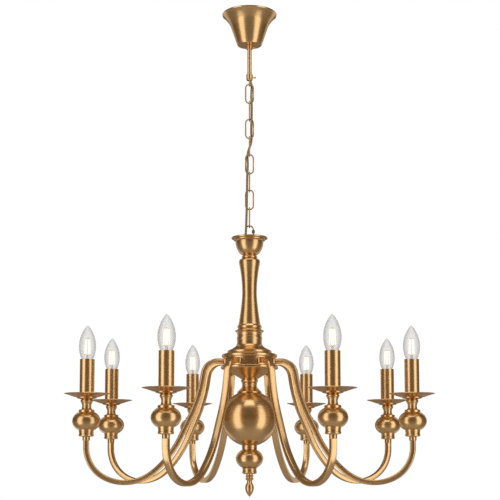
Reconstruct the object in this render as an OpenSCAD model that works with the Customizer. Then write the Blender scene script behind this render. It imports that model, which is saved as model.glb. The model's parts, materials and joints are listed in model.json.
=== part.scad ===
// Eight-arm turned brass chandelier on a chain, with its ceiling canopy.
// The origin is the centre of the bracket's top face, on the ceiling. +Z is up.

/* [Ceiling] */
// Length of the bracket bar
bracket_l = 96; // [90:1:100]
// Width of the bracket bar and its yoke
bracket_w = 20; // [14:1:24]
// Thickness of the bracket steel
bracket_t = 2.5; // [2:0.5:4]
// Distance between the two ceiling screw holes
bracket_holes = 76; // [62:1:82]
// Diameter of the ceiling screw holes
bracket_hole_d = 5.5; // [4:0.5:7]
// Depth of the yoke that carries the rod
yoke_h = 34; // [28:1:44]
// Width of the yoke, outside
yoke_w = 40; // [34:1:50]
// Side of the terminal block
block_w = 16; // [12:1:20]
// Height of the terminal block
block_h = 11; // [8:1:14]
// Radius of the canopy at the ceiling
canopy_top_r = 59.5; // [54:1:75]
// Radius of the canopy at its bottom
canopy_foot_r = 26; // [16:1:34]
// Height of the canopy
canopy_h = 70.8; // [58:0.1:90]
// Wall of the canopy
canopy_wall = 1.2; // [0.8:0.1:2]

/* [Rod and collars] */
// Diameter of the rod
rod_d = 9.4; // [8:0.2:12]
// Wall of the rod
rod_wall = 1.4; // [1:0.1:1.6]
// Ceiling to the top of the lower collar
rod_drop = 136.8; // [110:0.1:200]
// Radial clearance of the sliding collar on the rod
slide_fit = 0.1; // [0.05:0.01:0.1]
// Radius of the collar under the canopy
lock_r = 6.8; // [6.2:0.1:9]
// Height of the collar under the canopy
lock_h = 9.5; // [7:0.5:16]
// Radius of the collar at the foot of the rod
foot_r = 7; // [6.4:0.1:9]
// Height of the collar at the foot of the rod
foot_h = 12; // [9:0.5:16]
// Diameter of the thumb screws
screw_d = 3; // [2:0.5:4]
// Side of a thumb screw's flat head
screw_head = 5; // [4:0.5:8]

/* [Chain] */
// Diameter of the link wire
link_d = 3; // [2:0.1:3.4]
// Outer length of a link
link_l = 45.6; // [36:0.1:60]
// Outer width of a link
link_w = 19.7; // [18:0.1:26]
// Gap left between two links that hang together
link_play = 0.3; // [0.2:0.05:0.4]
// Wire diameter of the two loops that the chain hangs between
loop_d = 3.2; // [2.4:0.1:3.4]
// Half width of the two loops, to the middle of the wire
loop_r = 5.6; // [5.4:0.1:6]

/* [Flex cord] */
// Diameter of the flex cord
cord_d = 5; // [4:0.1:5]

/* [Column] */
// Radius of the cup's rim
cup_r = 38.8; // [34:0.2:46]
// Radius of the cup's bowl
bowl_r = 30.2; // [26:0.2:32]
// Height of the cup
cup_h = 40.4; // [36:0.1:46]
// Depth of the cup's floor under its rim
cup_floor = 30; // [26:1:31]
// Wall of the spun column pieces
wall = 1.6; // [1:0.1:2]
// Radius of the bead under the cup
cup_bead_r = 17; // [15:0.5:19]
// Height of the bead under the cup
cup_bead_h = 6.5; // [5:0.5:9]
// Height of the column
column_h = 142.3; // [110:0.1:190]
// Radius of the column's shoulder and foot
column_r = 22.5; // [19:0.5:28]
// Radius of the column's waist
column_waist_r = 15.5; // [14.5:0.5:18]
// Radius of the bead ring under the column
bead_r = 26; // [24:0.5:32]
// Height of the bead ring under the column
bead_h = 10.5; // [7:0.5:16]
// Radius of the thin disc under the bead ring
disc_r = 30.8; // [29:0.2:38]
// Height of the thin disc with its coves
disc_h = 9; // [7:0.5:14]
// Radius of the base's barrel
barrel_r = 26.6; // [24:0.2:30]
// Height of the base
base_h = 42.4; // [36:0.1:60]
// Radius of the base's foot
base_r = 47; // [42:1:51]

/* [Hub] */
// Radius of the wall that the arms are fixed to
hub_r = 54; // [50:0.5:60]
// Height of the hub
hub_h = 33.5; // [30:0.5:44]
// How far the top lip stands out of the wall
lip_top = 5; // [3:0.5:8]
// How far the bottom lip stands out of the wall
lip_bottom = 7; // [4:0.5:10]
// Wall of the hub
hub_wall = 5; // [3:0.5:7]
// Height of the cone under the hub
cone_h = 21.5; // [14:0.5:34]

/* [Balls and finial] */
// Radius of the large ball
sphere_r = 59; // [48:0.5:72]
// Height of the beaded neck over the large ball
neck_h = 30; // [26:0.5:40]
// Radius of the neck's lip, where it sits on the ball
neck_lip_r = 26; // [22:0.5:30]
// Height of the collar under the large ball
collar_h = 9; // [6:0.5:14]
// Radius of the lower ball
low_ball_r = 28.9; // [24:0.1:36]
// Height of the lower ball between its flats
low_ball_h = 38; // [32:0.5:46]
// Height of the cup that holds the finial
finial_cup_h = 13.2; // [10:0.2:18]
// Radius of the finial's bud
bud_r = 9.2; // [8:0.1:12]
// Height of the finial
finial_h = 47.7; // [40:0.1:60]
// Diameter of the threaded pipe that ties the stack together
pipe_d = 10; // [9:0.1:10]

/* [Arms] */
// Turn of the two front arms from straight ahead
front_turn = 26.6; // [22:0.1:28]
// Turn of the two forward side arms from straight ahead
side_turn = 71.5; // [67:0.1:73]
// Turn of the two rearward side arms from straight ahead
rear_side_turn = 117.3; // [112:0.1:118]
// Turn of the two back arms from straight ahead
back_turn = 157.2; // [156:0.1:159]
// Width of the arm tube, across the arm's plane
tube_w = 12.8; // [10:0.2:14]
// Thickness of the arm tube, in the arm's plane
tube_t = 10.6; // [9:0.2:12]
// Radius of the tube's rounded corners
tube_corner = 2.4; // [2:0.1:4]
// Level run of the arm out of the hub
root_run = 16; // [8:1:24]
// Bend radius over the shoulder
shoulder_r = 32; // [22:1:40]
// Straight run below the shoulder
shank_run = 14; // [2:1:40]
// Bend radius of the outward turn
swan_r = 280; // [150:5:400]
// Straight run down the slope
slope_run = 51; // [5:1:80]
// Bend radius at the start of the long sweep
sweep_r = 215; // [150:5:280]
// Bend radius at the bottom of the sweep
belly_r = 100; // [60:1:130]
// Bend radius where the arm starts to rise
outer_r = 90; // [60:1:120]
// Bend radius of the turn up to the candle
rise_r = 70; // [40:1:90]
// Straight riser under the candle
riser_run = 12; // [5:1:40]

/* [Candles] */
// Radius of the ball under a candle
vase_r = 28.9; // [22:0.1:34]
// Height of the ball under a candle, between its flats
vase_h = 35; // [30:0.5:42]
// Height of the ferrule under that ball
ferrule_h = 22.2; // [16:0.2:30]
// Height of the turned stem over that ball
stem_h = 30.8; // [26:0.2:40]
// Radius of the disc under a drip pan
stem_disc_r = 20.3; // [17:0.1:24]
// Radius of a drip pan
pan_r = 46.5; // [38:0.5:60]
// Depth of a drip pan
pan_h = 8; // [5:0.5:12]
// Sheet of a drip pan
pan_t = 1; // [0.8:0.1:1.6]
// Outer radius of a candle sleeve
sleeve_r = 15; // [13.5:0.1:18]
// Wall of a candle sleeve
sleeve_wall = 1; // [0.6:0.1:1.2]
// Height of a candle sleeve
sleeve_h = 76.5; // [60:0.5:100]
// Outer radius of a lampholder
holder_r = 11.6; // [10:0.1:12]
// Radius of a bulb at its widest
bulb_r = 17.5; // [15:0.1:20]
// Height of a bulb over its sleeve
bulb_h = 70; // [56:0.5:84]
// Height of a bulb's widest place over its sleeve
bulb_belly = 26.5; // [20:0.5:30]
// Radius of a bulb's screw cap
cap_r = 7; // [6.5:0.1:7]
// Radial gap between the screw cap and its lampholder
cap_gap = 0.4; // [0.3:0.05:0.6]

/* [Hidden] */
$fn = 64;

brass = [0.78, 0.6, 0.36];
bright_brass = [0.88, 0.72, 0.36];
steel = [0.7, 0.71, 0.72];
olive = [0.5, 0.42, 0.22];
ivory = [0.93, 0.91, 0.86];
clear = [0.85, 0.9, 0.92, 0.4];

// free gap between pieces that pass through each other without touching
gap = 0.3;
pipe_r = pipe_d / 2;
pipe_bore = pipe_r + gap;

// ceiling
canopy_z = -0.5;
canopy_foot_z = canopy_z - canopy_h;
canopy_hole_r = rod_d / 2 + 0.8;
yoke_floor = -yoke_h;
nut_h = 5;
nut_across = 16;
rod_top = yoke_floor + nut_h + 2;
foot_z = -rod_drop;
rod_end = foot_z - 3;
rod_bore = rod_d / 2 - rod_wall;
screw_reach = 2.6;
neck_over_head = 1.6;

// chain
link_r = link_d / 2;
link_half = link_w / 2 - link_r;
link_run = link_l - link_d;
hang = (link_d + loop_d) / 2 + link_play;
pitch = link_run - link_d - link_play;
links = 9;
eye_z = foot_z - foot_h - 13.8;
link_z = eye_z + hang;
ring_z = link_z - pitch * (links - 1) - link_run + hang;

// central stack, each level the bottom of the piece over it
loop_base_h = 5;
floor_z = ring_z - 2 * loop_r - loop_base_h + 0.3;
cup_z = floor_z + cup_floor;
cup_bead_z = cup_z - cup_h;
column_z = cup_bead_z - cup_bead_h;
bead_z = column_z - column_h;
disc_z = bead_z - bead_h;
base_z = disc_z - disc_h;
hub_top = base_z - base_h;
hub_z = hub_top - 18;
hub_bottom = hub_top - hub_h;
neck_z = hub_bottom - cone_h;
neck_foot = neck_z - neck_h;
sphere_z = neck_foot - sqrt(pow(sphere_r + gap, 2) - pow(neck_lip_r, 2));
collar_r = 16.2;
collar_z = sphere_z - sqrt(pow(sphere_r + gap, 2) - pow(collar_r, 2));
low_ball_z = collar_z - collar_h;
finial_cup_z = low_ball_z - low_ball_h;
finial_z = finial_cup_z - finial_cup_h;
pipe_top = floor_z - 2.5;
pipe_foot = finial_z - 12;
cord_x = -8.6;
grip_x = -9.4;
grip_r = 3.7;
hub_room = hub_r - hub_wall;

// arm path: straight length, bend radius, turn in degrees
arm_path = [[root_run, 0, 0], [0, shoulder_r, -80], [shank_run, 0, 0], [0, swan_r, 16],
    [slope_run, 0, 0], [0, sweep_r, 24], [0, belly_r, 40], [0, outer_r, 30], [0, rise_r, 60],
    [riser_run, 0, 0]];
function heading(i) = i == 0 ? 0 : heading(i - 1) + arm_path[i - 1][2];
function side(i) = arm_path[i][2] < 0 ? -1 : 1;
function step_r(i) = arm_path[i][2] == 0 ? arm_path[i][0] * cos(heading(i))
    : side(i) * arm_path[i][1] * (sin(heading(i + 1)) - sin(heading(i)));
function step_z(i) = arm_path[i][2] == 0 ? arm_path[i][0] * sin(heading(i))
    : side(i) * arm_path[i][1] * (cos(heading(i)) - cos(heading(i + 1)));
function path_r(i) = i == 0 ? hub_r : path_r(i - 1) + step_r(i - 1);
function path_z(i) = i == 0 ? 0 : path_z(i - 1) + step_z(i - 1);
reach = path_r(len(arm_path));
arm_angles = [rear_side_turn - 90, back_turn - 90, 270 - back_turn, 270 - rear_side_turn,
    270 - side_turn, 270 - front_turn, 270 + front_turn, 270 + side_turn];

// candle stack, from the end of the arm
ferrule_z = hub_z + path_z(len(arm_path));
vase_z = ferrule_z + ferrule_h;
stem_z = vase_z + vase_h;
pan_z = stem_z + stem_h;
sleeve_z = pan_z + pan_t;
sleeve_top = sleeve_z + sleeve_h;
holder_top = sleeve_top - 9;
cap_h = 24;
stud_r = 4.4;
stud_bore = stud_r + gap;

// flex cord: out of the terminal block, down the rod, woven through the chain and into the column
cord_route = [[0, 0, -16], [0, 0, -27], [0, 0, -40], [0, 0, -55], [0, 0, -70], [0, 0, -85],
    [0, 0, -100], [0, 0, -115], [0, 0, -125.3], [0, 0, -135.3], [0.2, 0.1, -141.3],
    [0.7, 0.5, -146.3], [1.4, 1.1, -151.3], [3.4, 2.9, -155.8], [4.4, 4.3, -160.3],
    [4.8, 4.7, -165.3], [4.5, 4.1, -170.3], [4.1, 1.7, -177.3], [3.9, -0.7, -184.3],
    [4.1, -3.4, -192.3], [4.5, -4.9, -201.3], [4.8, -5.2, -212.3], [4.8, -5.2, -222.3],
    [4.7, -5, -232.3], [4.5, -4.7, -241.3], [4, -3.2, -251.3], [3.7, 0, -260.3], [3.9, 3, -270.3],
    [4.4, 4.7, -279.3], [3.4, 4.1, -289.3], [0.2, 3.2, -299.3], [-3, 4, -309.3],
    [-4.5, 5, -318.3], [-4.2, 4, -327.3], [-3.8, 0.6, -337.3], [-4, -2.8, -346.3],
    [-4.6, -4.9, -357.3], [-5, -5.6, -368.3], [-5.2, -5.7, -381.3], [-5.3, -5.7, -393.3],
    [-5.5, -5.7, -406.3], [-5.7, -5.6, -418.3], [-5.9, -5.6, -431.3], [-6.2, -5.5, -443.3],
    [-6.6, -5.4, -456.3], [-7, -5.3, -469.3], [-7.5, -5.1, -481.3], [-8.3, -4.9, -494.3],
    [-9.1, -4.8, -503.3], [-9.9, -3.9, -510.3], [-10.2, -2.2, -517.3], [-9.8, -0.6, -523.3],
    [-9.4, 0, -527.3], [-9.4, 0, -533.3], [-9, 0, -544.3], [-8.6, 0, -556.3], [-8.6, 0, -571.3],
    [-8.6, 0, -586.3], [-8.6, 0, -601.3], [-8.6, 0, -616.3], [-8.6, 0, -631.3], [-8.6, 0, -646.3],
    [-8.6, 0, -661.3], [-8.6, 0, -676.3], [-8.6, 0, -691.3], [-8.6, 0, -706.3], [-8.6, 0, -721],
    [-8.6, 0, -734.3], [-8.6, 0, -745.6], [-8.6, 0, -757.6]];
cord_sides = 8;

// profile helpers: lists of [radius, height]
function arc(cr, cz, r, a0, a1, n = 8) =
    [for (i = [0:n]) let (a = a0 + (a1 - a0) * i / n) [cr + r * cos(a), cz + r * sin(a)]];
function oval(cr, cz, rr, rz, a0, a1, n = 10) =
    [for (i = [0:n]) let (a = a0 + (a1 - a0) * i / n) [cr + rr * cos(a), cz + rz * sin(a)]];
function flare(r0, z0, r1, z1, p, n = 8) =
    [for (i = [0:n]) let (t = i / n) [r0 + (r1 - r0) * pow(t, p), z0 + (z1 - z0) * t]];
function bulge(r, z0, z1, out, n = 6) =
    [for (i = [0:n]) let (t = i / n) [r + out * sin(180 * t), z0 + (z1 - z0) * t]];
function inward(points, t) = [for (i = [len(points) - 1:-1:0]) [points[i][0] - t, points[i][1]]];
function raised(points, t) = [for (i = [len(points) - 1:-1:0]) [points[i][0], points[i][1] + t]];

module spin(points) {
    rotate_extrude() polygon(points);
}

module each_arm() {
    for (angle = arm_angles) rotate([0, 0, angle]) children();
}

module hex_nut(across, h, bore) {
    difference() {
        cylinder(d = across / cos(30), h = h, $fn = 6);
        translate([0, 0, -1]) cylinder(r = bore, h = h + 2);
    }
}

// a thumb screw along +X, its tip at the origin
module thumb_screw(reach_out) {
    head_x = reach_out + neck_over_head;
    rotate([0, 90, 0]) cylinder(d = screw_d, h = head_x + 0.6);
    translate([head_x, -0.8, -screw_head / 2]) cube([2.6, 1.6, screw_head]);
    translate([reach_out - 0.9, 0, 0]) rotate([0, 90, 0]) cylinder(d = screw_d + 1.2, h = 1.2);
}

module screw_collar(r, h, bore, screw_z) {
    difference() {
        spin([[bore, 0], [r - 0.8, 0], [r, -0.8], [r, 0.8 - h], [r - 0.8, -h], [bore, -h]]);
        translate([0, 0, -screw_z]) rotate([0, 90, 0]) cylinder(d = screw_d + 0.1, h = r + 1);
    }
}

module ceiling_bracket() {
    color(steel) difference() {
        union() {
            translate([-bracket_l / 2, -bracket_w / 2, -bracket_t])
                cube([bracket_l, bracket_w, bracket_t]);
            for (x = [-yoke_w / 2, yoke_w / 2 - bracket_t]) {
                translate([x, -bracket_w / 2, yoke_floor - bracket_t])
                    cube([bracket_t, bracket_w, yoke_h]);
            }
            translate([-yoke_w / 2, -bracket_w / 2, yoke_floor - bracket_t])
                cube([yoke_w, bracket_w, bracket_t]);
        }
        for (x = [-1, 1]) {
            translate([x * bracket_holes / 2, 0, -bracket_t - 1])
                cylinder(d = bracket_hole_d, h = bracket_t + 2);
        }
        translate([0, 0, yoke_floor - bracket_t - 1]) cylinder(r = rod_d / 2 + gap, h = bracket_t + 2);
    }
}

module rod_nuts() {
    color(steel) {
        translate([0, 0, yoke_floor]) hex_nut(nut_across, nut_h, rod_d / 2);
        translate([0, 0, yoke_floor - bracket_t - nut_h]) hex_nut(nut_across, nut_h, rod_d / 2);
    }
}

module terminal_block() {
    color(ivory) difference() {
        translate([-block_w / 2, -block_w / 2, -bracket_t - block_h]) cube([block_w, block_w, block_h]);
        translate([0, 0, -bracket_t - block_h - 0.01]) cylinder(d = cord_d + 0.1, h = 4);
    }
}

module hanger_rod() {
    color(brass) translate([0, 0, rod_end]) difference() {
        cylinder(d = rod_d, h = rod_top - rod_end);
        translate([0, 0, -1]) cylinder(r = rod_bore, h = rod_top - rod_end + 2);
    }
}

module loop_collar() {
    color(brass) translate([0, 0, foot_z]) difference() {
        screw_collar(foot_r, foot_h, rod_bore + 0.4, foot_h / 2 + 1.2);
        translate([0, 0, rod_end - foot_z]) cylinder(r = rod_d / 2, h = foot_h);
        translate([0, 0, -foot_h - 1]) cylinder(r = rod_d / 2, h = foot_h - (foot_z - rod_end));
    }
}

// a stirrup: two legs at the collar's underside and the bend that the chain hangs from
module hanger_loop() {
    bend_z = eye_z + loop_r;
    color(brass) {
        difference() {
            translate([0, 0, foot_z - foot_h - 1.6]) cylinder(r = foot_r - 0.6, h = 1.6);
            translate([0, 0, foot_z - foot_h - 3]) cylinder(r = rod_d / 2, h = 6);
        }
        translate([0, 0, bend_z]) rotate([0, 0, 90]) rotate([90, 0, 0]) rotate([0, 0, 180])
            rotate_extrude(angle = 180) translate([loop_r, 0]) circle(d = loop_d, $fn = 32);
        for (y = [-1, 1]) {
            translate([0, y * loop_r, bend_z]) cylinder(d = loop_d, h = foot_z - foot_h - 1 - bend_z);
        }
    }
}

module loop_screw() {
    color(bright_brass) translate([rod_d / 2 + gap, 0, foot_z - foot_h / 2 - 1.2])
        thumb_screw(foot_r - rod_d / 2 - gap + screw_reach);
}

module canopy() {
    foot = canopy_h;
    lip = [[canopy_top_r - 1.2, 0], [canopy_top_r, -1.2]];
    side = concat(lip, flare(canopy_top_r, -3.4, canopy_top_r * 0.745, -21, 0.82, 8),
        [[canopy_top_r * 0.68, -29], [canopy_foot_r + 1.2, 2 - foot], [canopy_foot_r, -foot]]);
    inner = [[canopy_foot_r - canopy_wall, canopy_wall - foot],
        [canopy_foot_r + 1.2 - canopy_wall, 2 - foot], [canopy_top_r * 0.68 - canopy_wall, -29]];
    flare_in = inward(flare(canopy_top_r, -3.4, canopy_top_r * 0.745, -21, 0.82, 8), canopy_wall);
    color(brass) translate([0, 0, canopy_z])
        spin(concat(side, [[canopy_hole_r, -foot], [canopy_hole_r, canopy_wall - foot]], inner,
            flare_in, [[canopy_top_r - canopy_wall, 0]]));
}

module lock_collar() {
    color(brass) translate([0, 0, canopy_foot_z])
        screw_collar(lock_r, lock_h, rod_d / 2 + slide_fit, lock_h / 2 + 0.6);
}

module lock_screw() {
    color(bright_brass) translate([rod_d / 2 + slide_fit + gap, 0, canopy_foot_z - lock_h / 2 - 0.6])
        thumb_screw(lock_r - rod_d / 2 - slide_fit - gap + screw_reach);
}

// one link in the XZ plane, its top bend's middle at the origin
module link_body() {
    half_run = link_run - 2 * link_half;
    translate([0, 0, -link_half]) rotate([90, 0, 0]) rotate_extrude(angle = 180)
        translate([link_half, 0]) circle(r = link_r, $fn = 32);
    translate([0, 0, -link_half - half_run]) rotate([90, 0, 0]) rotate([0, 0, 180])
        rotate_extrude(angle = 180) translate([link_half, 0]) circle(r = link_r, $fn = 32);
    for (x = [-1, 1]) {
        translate([x * link_half, 0, -link_half - half_run])
            cylinder(r = link_r, h = half_run, $fn = 32);
    }
}

// odd links face the front, even links stand edge-on
module chain_link(n) {
    color(brass) translate([0, 0, link_z - pitch * (n - 1)]) rotate([0, 0, n % 2 == 1 ? 0 : 90])
        link_body();
}

module link_nut() {
    color(bright_brass)
        translate([link_half, 0, link_z - pitch * (links - 1) - link_half - 8]) difference() {
            cylinder(d = 6.6, h = 7, $fn = 6);
            translate([0, 0, -1]) cylinder(r = link_r, h = 9);
        }
}

function unit(v) = v / norm(v);
function cord_aim(i) = unit(cord_route[min(i + 1, len(cord_route) - 1)] - cord_route[max(i - 1, 0)]);
function cord_ring(i) = let (t = cord_aim(i), u = unit([1, 0, 0] - t[0] * t), v = cross(t, u))
    [for (k = [0:cord_sides - 1]) let (a = 360 * k / cord_sides)
        cord_route[i] + cord_d / 2 * (cos(a) * u + sin(a) * v)];

module flex_cord() {
    rings = len(cord_route);
    points = [for (i = [0:rings - 1]) each cord_ring(i)];
    walls = [for (i = [0:rings - 2]) for (k = [0:cord_sides - 1]) let (next = (k + 1) % cord_sides)
        [i * cord_sides + k, i * cord_sides + next, (i + 1) * cord_sides + next,
            (i + 1) * cord_sides + k]];
    start = [[for (k = [cord_sides - 1:-1:0]) k]];
    end = [[for (k = [0:cord_sides - 1]) (rings - 1) * cord_sides + k]];
    color(olive) polyhedron(points = points, faces = concat(walls, start, end));
}

module cord_grip() {
    color(brass) translate([grip_x, 0, floor_z - 2]) difference() {
        union() {
            cylinder(r = grip_r, h = 2);
            translate([0, 0, 2]) cylinder(r = grip_r + 0.6, h = 2.2);
        }
        translate([0, 0, -1]) cylinder(r = cord_d / 2 + 0.25, h = 6);
    }
}

module column_loop() {
    color(brass) translate([0, 0, floor_z]) {
        difference() {
            cylinder(r = 4.9, h = loop_base_h);
            translate([0, 0, -1]) cylinder(r = 3.4, h = 2);
        }
        translate([0, 0, -9]) cylinder(r = 3.4, h = 10.5);
        translate([0, 0, loop_base_h - 0.3 + loop_r]) rotate([0, 0, 90]) rotate([90, 0, 0])
            rotate_extrude() translate([loop_r, 0]) circle(d = loop_d, $fn = 32);
    }
}

module tie_pipe() {
    color(steel) translate([0, 0, pipe_foot]) difference() {
        cylinder(r = pipe_r, h = pipe_top - pipe_foot);
        translate([0, 0, -1]) cylinder(r = 3.6, h = pipe_top - pipe_foot + 2);
    }
}

module top_cup() {
    neck_r = 13.8;
    lip = [[cup_r - 1, 0], [cup_r, -1], [cup_r, -3], [cup_r - 1.6, -3.8], [bowl_r + 4, -4.4],
        [bowl_r + 3.6, -6.6]];
    bowl = oval(8, -7, bowl_r - 8, cup_h - 6.6, -3, -74, 12);
    room = oval(8, -7, bowl_r - 8 - wall, cup_h - 8.6, -46, 0, 8);
    color(brass) translate([0, 0, cup_z]) difference() {
        spin(concat(lip, bowl, [[neck_r, -cup_h], [neck_r - wall, -cup_h],
            [neck_r - wall, -cup_floor - 2], [3.8, -cup_floor - 2], [3.8, -cup_floor]],
            [[room[0][0], -cup_floor]], room, [[bowl_r + 2.4, -5], [bowl_r + 3, -2.8],
            [cup_r - 3, -1.6], [cup_r - 2.4, 0]]));
        translate([grip_x, 0, -cup_floor - 3]) cylinder(r = grip_r + 0.05, h = 4);
    }
}

module column_rings() {
    bore = 12;
    color(brass) {
        translate([0, 0, cup_bead_z])
            spin(concat([[bore, 0]], bulge(cup_bead_r - 2.2, 0, -cup_bead_h, 2.2, 8),
                [[bore, -cup_bead_h]]));
        translate([0, 0, bead_z])
            spin(concat([[bore + 4, 0], [bead_r - 3, 0]], bulge(bead_r - 2, -1, 1 - bead_h, 2, 8),
                [[bead_r - 0.8, -bead_h], [bore + 4, -bead_h]]));
        translate([0, 0, disc_z])
            spin(concat([[bore + 4, 0]], flare(bead_r - 0.4, 0, disc_r - 1, -2.6, 2, 5),
                arc(disc_r - 1, -3.6, 1, 90, -90, 8), flare(disc_r - 1, -4.6, barrel_r, -disc_h, 0.5, 5),
                [[bore + 4, -disc_h]]));
    }
}

module column() {
    low = column_h - 4;
    shaft_top = [for (i = [0:10]) let (t = 1 - i / 10)
        [column_waist_r + (column_r - column_waist_r) * pow(t, 2.1), -9 - (column_h * 0.54 - 9) * (1 - t)]];
    shaft_low = [for (i = [1:10]) let (t = i / 10)
        [column_waist_r + (column_r - column_waist_r) * pow(t, 1.35),
            -column_h * 0.54 - (low - column_h * 0.54) * t]];
    outer = concat([[cup_bead_r, 0]], oval(cup_bead_r, -6, column_r - cup_bead_r, 5.4, 80, 0, 7),
        shaft_top, shaft_low, [[column_r + 0.6, -low - 1.5], [column_r + 0.6, -column_h]]);
    color(brass) translate([0, 0, column_z])
        spin(concat(outer, inward(outer, wall + 0.4)));
}

module column_base() {
    outer = concat([[barrel_r, 0], [barrel_r - 0.8, -3], [barrel_r - 0.8, -5.5]],
        bulge(barrel_r - 0.4, -6.5, -15, 0.8, 6), [[barrel_r - 0.2, -18], [barrel_r, -21]],
        flare(barrel_r + 0.2, -22, base_r - 1.5, 6 - base_h, 2, 9),
        [[base_r, 4.6 - base_h], [base_r, 1 - base_h], [base_r - 1, -base_h]]);
    inner = [[base_r - 6, -base_h], [base_r - 6, 4 - base_h], [barrel_r - 4, -22], [barrel_r - 4, 0]];
    color(brass) translate([0, 0, base_z]) spin(concat(outer, inner));
}

// drum with two lips, a closed floor and a bore for each arm
module hub_body() {
    top = hub_top - hub_z;
    low = hub_bottom - hub_z;
    color(brass) translate([0, 0, hub_z]) difference() {
        spin([[12, top], [base_r + 2, top], [hub_r + lip_top - 1.5, top - 2.2],
            [hub_r + lip_top, top - 3.4], [hub_r + lip_top, top - 7.6], [hub_r + lip_top - 1, top - 8.6],
            [hub_r, top - 8.8], [hub_r, low + 6.4], [hub_r + lip_bottom - 1, low + 6],
            [hub_r + lip_bottom, low + 5], [hub_r + lip_bottom, low + 1.6],
            [hub_r + lip_bottom - 1.6, low], [pipe_bore, low], [pipe_bore, low + 3],
            [hub_room, low + 3], [hub_room, top - 4], [12, top - 4]]);
        each_arm() translate([hub_room - 2, 0, 0]) rotate([0, 90, 0])
            cylinder(r = stud_bore, h = hub_wall + 4);
    }
}

module hub_cone() {
    foot_r = 17;
    rim_r = hub_r + 2;
    sheet = 3;
    outer = [for (i = [0:8]) let (t = i / 8) [rim_r + (foot_r - rim_r) * pow(t, 0.9), -cone_h * t]];
    inner = [for (i = [7:-1:1]) let (t = i / 8) [rim_r + (foot_r - rim_r) * pow(t, 0.9) - 1, sheet - 1 - cone_h * t]];
    color(brass) translate([0, 0, hub_bottom])
        spin(concat(outer, [[pipe_bore, -cone_h], [pipe_bore, sheet - cone_h]], inner, [[rim_r - 4, 0]]));
}

module neck_cap() {
    bottom = neck_h - 0.1;
    color(brass) translate([0, 0, neck_z])
        spin(concat([[pipe_bore, 0]], bulge(16.6, 0, -7.6, 1.8, 8), bulge(15.4, -8.4, -13, 1, 6),
            flare(15.8, -14.4, neck_lip_r - 0.4, 3.2 - neck_h, 1.7, 8),
            [[neck_lip_r, 2.4 - neck_h], [neck_lip_r, 0.4 - neck_h], [neck_lip_r - 0.4, -bottom]],
            [for (i = [0:8]) let (r = neck_lip_r - 0.6 + (pipe_bore - neck_lip_r + 0.6) * i / 8)
                [r, sphere_z - neck_z + sqrt(pow(sphere_r + gap, 2) - r * r)]]));
}

module sphere_shell(r, t, hole) {
    a = acos(hole / r);
    b = acos(hole / (r - t));
    spin(concat(arc(0, 0, r, a, -a, 40), arc(0, 0, r - t, -b, b, 40)));
}

module sphere() {
    color(brass) translate([0, 0, sphere_z]) sphere_shell(sphere_r, 1.2, pipe_bore);
}

// the ring under the large ball, and the cup between the lower ball and the finial
module ball_collars() {
    color(brass) {
        translate([0, 0, collar_z])
            spin(concat([[collar_r, -0.4], [collar_r - 0.3, -3], [collar_r, -collar_h + 0.6],
                [collar_r - 0.6, -collar_h], [pipe_bore, -collar_h]],
                [for (i = [0:6]) let (r = pipe_bore + (collar_r - pipe_bore) * i / 6)
                    [r, sphere_z - collar_z - sqrt(pow(sphere_r + gap, 2) - r * r)]]));
        translate([0, 0, finial_cup_z])
            spin(concat([[pipe_bore, 0], [16, 0]], flare(15.4, -1, 14.5, -5, 0.6, 4),
                [[14.7, -6.4]], bulge(14.9, -7, 2 - finial_cup_h, 0.8, 5),
                [[13.4, -finial_cup_h], [pipe_bore, -finial_cup_h]]));
    }
}

module oblate(r, h, semi, hole, t) {
    a = asin(h / 2 / semi);
    b = asin((h / 2 - t) / (semi - t));
    spin(concat(oval(0, 0, r, semi, a, -a, 24), [[hole, -h / 2], [hole, t - h / 2]],
        oval(0, 0, r - t, semi - t, -b, b, 24), [[hole, h / 2 - t], [hole, h / 2]]));
}

module lower_ball() {
    color(brass) translate([0, 0, low_ball_z - low_ball_h / 2])
        oblate(low_ball_r, low_ball_h, low_ball_h / 2 + 3, pipe_bore, 1.2);
}

module finial() {
    tip = finial_h;
    bud = [for (i = [0:12]) let (t = i / 12) [bud_r * (1 - pow(t, 2.2)), -28 - (tip - 28) * t]];
    color(brass) translate([0, 0, finial_z])
        spin(concat([[0, -13], [pipe_bore, -13], [pipe_bore, 0], [7, 0], [7, -2]],
            bulge(7, -2.4, -6.4, 1.8, 6), [[6.8, -7.4]], bulge(7, -8.4, -12, 2, 6),
            [[5.6, -14], [5.5, -16.5], [6.2, -18.6]], flare(6.8, -20, bud_r - 0.1, -26.6, 0.6, 5), bud));
}

module tie_nuts() {
    color(steel) {
        translate([0, 0, hub_bottom + 3]) hex_nut(nut_across, nut_h, pipe_bore);
        translate([0, 0, hub_bottom - nut_h - 1]) hex_nut(nut_across, nut_h, pipe_bore);
    }
}

module wire_connector() {
    color(ivory) translate([cord_x - 5, -6, hub_z + 1.5]) difference() {
        cube([8, 12, 10]);
        translate([5, 6, 8]) cylinder(d = cord_d + 0.1, h = 4);
    }
}

// stations along the arm: [radius, height, heading]
function turns(i) = abs(arm_path[i][2]);
function steps(i) = turns(i) == 0 ? 1 : ceil(turns(i) / (arm_path[i][1] > 150 ? 4.8 : 7.5));
function station(i, f) = let (h0 = heading(i), h = h0 + arm_path[i][2] * f, s = side(i) * arm_path[i][1])
    turns(i) == 0 ? [path_r(i) + f * step_r(i), path_z(i) + f * step_z(i), h0]
        : [path_r(i) + s * (sin(h) - sin(h0)), path_z(i) + s * (cos(h0) - cos(h)), h];
function tube_outline() = let (w = tube_w / 2 - tube_corner, t = tube_t / 2 - tube_corner)
    [for (q = [0:3]) for (k = [0:2]) let (a = 90 * q + 45 * k, x = q == 0 || q == 3 ? w : -w, y = q < 2 ? t : -t)
        [x + tube_corner * cos(a), y + tube_corner * sin(a)]];

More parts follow.
